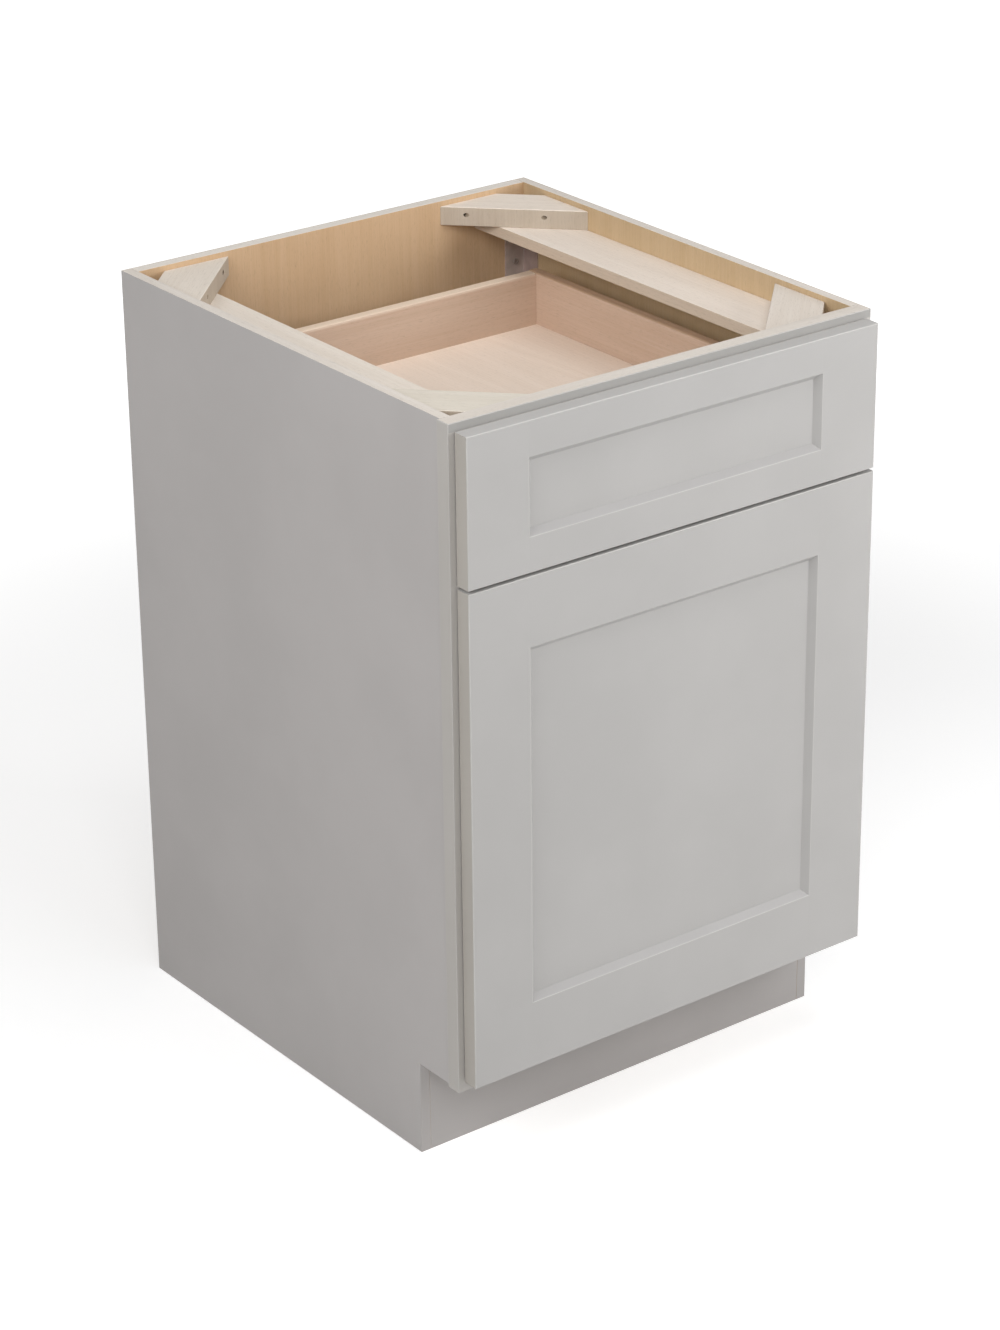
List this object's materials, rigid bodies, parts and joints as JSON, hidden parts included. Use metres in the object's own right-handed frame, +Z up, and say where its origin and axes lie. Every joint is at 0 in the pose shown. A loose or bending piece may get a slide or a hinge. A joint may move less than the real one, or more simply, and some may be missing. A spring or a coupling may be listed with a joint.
{
  "type": "pull-out waste bin base cabinet",
  "caption": "Free-standing kitchen base cabinet with a drawer above a pull-out door that carries lift-out waste bins on slides.",
  "frame": {"origin": "on the floor, at the centre of the closed cabinet's outline from above", "axes": "+Z up, the drawer and the door face -Y, +X to the right of someone who looks at +Y"},
  "size_m": [0.564, 0.6302, 0.8763],
  "materials": {
    "cabinet_paint": "satin grey paint over board",
    "cabinet_ply": "clear coated plywood, painted grey outside",
    "frame_paint": "satin grey paint on solid wood",
    "front_paint": "satin grey paint on solid wood and board",
    "brace_wood": "planed pale hardwood",
    "drawer_wood": "clear coated pinkish hardwood",
    "drawer_ply": "clear coated pale plywood",
    "carrier_wood": "clear coated pale plywood",
    "slide_steel": "zinc plated sheet steel",
    "bracket_steel": "dark grey coated sheet steel",
    "screw_steel": "dark phosphated steel",
    "ball_steel": "polished steel balls",
    "roller_plastic": "grey moulded plastic",
    "catch_plastic": "grey moulded plastic",
    "lever_plastic": "orange moulded plastic",
    "bin_plastic": "dark grey moulded plastic, fine texture",
    "bumper_rubber": "clear soft plastic dots"
  },
  "bodies": {
    "cabinet": {"left_side_panel": "cabinet_paint", "right_side_panel": "cabinet_paint", "back_panel": "cabinet_ply", "floor_panel": "cabinet_ply", "toe_kick_board": "cabinet_paint", "frame_left_stile": "frame_paint", "frame_right_stile": "frame_paint", "frame_top_rail": "frame_paint", "frame_middle_rail": "frame_paint", "frame_bottom_rail": "frame_paint", "front_left_brace": "brace_wood", "front_right_brace": "brace_wood", "back_left_brace": "brace_wood", "back_right_brace": "brace_wood", "left_top_board": "brace_wood", "right_top_board": "brace_wood", "brace_screws": "screw_steel", "drawer_slide_bases": "slide_steel", "rear_brackets": "bracket_steel", "drawer_slide_screws": "screw_steel", "slide_cleats": "brace_wood", "bin_slide_bases": "slide_steel", "bin_slide_screws": "screw_steel"},
    "drawer_middle_members": {"drawer_slide_middles": "slide_steel", "drawer_slide_rollers": "roller_plastic"},
    "drawer": {"drawer_slide_runners": "slide_steel", "drawer_left_side": "drawer_wood", "drawer_right_side": "drawer_wood", "drawer_box_front": "drawer_wood", "drawer_back": "drawer_wood", "drawer_bottom": "drawer_ply", "drawer_front_left_stile": "front_paint", "drawer_front_right_stile": "front_paint", "drawer_front_top_rail": "front_paint", "drawer_front_bottom_rail": "front_paint", "drawer_front_panel": "front_paint", "drawer_screws": "screw_steel", "drawer_bumpers": "bumper_rubber", "front_catches": "catch_plastic"},
    "left_lever": {"left_release_lever": "lever_plastic"},
    "right_lever": {"right_release_lever": "lever_plastic"},
    "bin_middle_members": {"bin_slide_middles": "slide_steel", "bin_slide_balls": "ball_steel"},
    "pull_out": {"bin_slide_runners": "slide_steel", "runner_screws": "screw_steel", "carrier_left_side": "carrier_wood", "carrier_right_side": "carrier_wood", "carrier_front": "carrier_wood", "carrier_back": "carrier_wood", "carrier_bottom": "carrier_wood", "door_left_stile": "front_paint", "door_right_stile": "front_paint", "door_top_rail": "front_paint", "door_bottom_rail": "front_paint", "door_panel": "front_paint", "door_brackets": "bracket_steel", "carrier_screws": "screw_steel", "door_bumpers": "bumper_rubber"},
    "front_bin_body": {"front_bin": "bin_plastic"},
    "rear_bin_body": {"rear_bin": "bin_plastic"}
  },
  "joints": [
    {"name": "drawer_slide", "type": "slide", "parent": "cabinet", "child": "drawer", "axis": [0, -1, 0], "range_m": [0, 0.48]},
    {"name": "drawer_middle_slide", "type": "slide", "parent": "cabinet", "child": "drawer_middle_members", "axis": [0, -1, 0], "range_m": [0, 0.24]},
    {"name": "left_release", "type": "hinge", "parent": "drawer", "child": "left_lever", "pos_m": [-0.1686, -0.22965, 0.7193], "axis": [0, 0, -1], "range_deg": [0, 8], "stiffness_Nm_per_rad": 0.02},
    {"name": "right_release", "type": "hinge", "parent": "drawer", "child": "right_lever", "pos_m": [0.1686, -0.22965, 0.7193], "axis": [0, 0, 1], "range_deg": [0, 8], "stiffness_Nm_per_rad": 0.02},
    {"name": "pull_out_slide", "type": "slide", "parent": "cabinet", "child": "pull_out", "axis": [0, -1, 0], "range_m": [0, 0.46]},
    {"name": "bin_middle_slide", "type": "slide", "parent": "cabinet", "child": "bin_middle_members", "axis": [0, -1, 0], "range_m": [0, 0.23]},
    {"name": "front_bin_lift", "type": "slide", "parent": "pull_out", "child": "front_bin_body", "axis": [0, 0, 1], "range_m": [0, 0.05]},
    {"name": "rear_bin_lift", "type": "slide", "parent": "pull_out", "child": "rear_bin_body", "axis": [0, 0, 1], "range_m": [0, 0.05]}
  ],
  "couplings": [
    {"joint": "drawer_middle_slide", "follows": "drawer_slide", "ratio": 0.5},
    {"joint": "bin_middle_slide", "follows": "pull_out_slide", "ratio": 0.5}
  ]
}
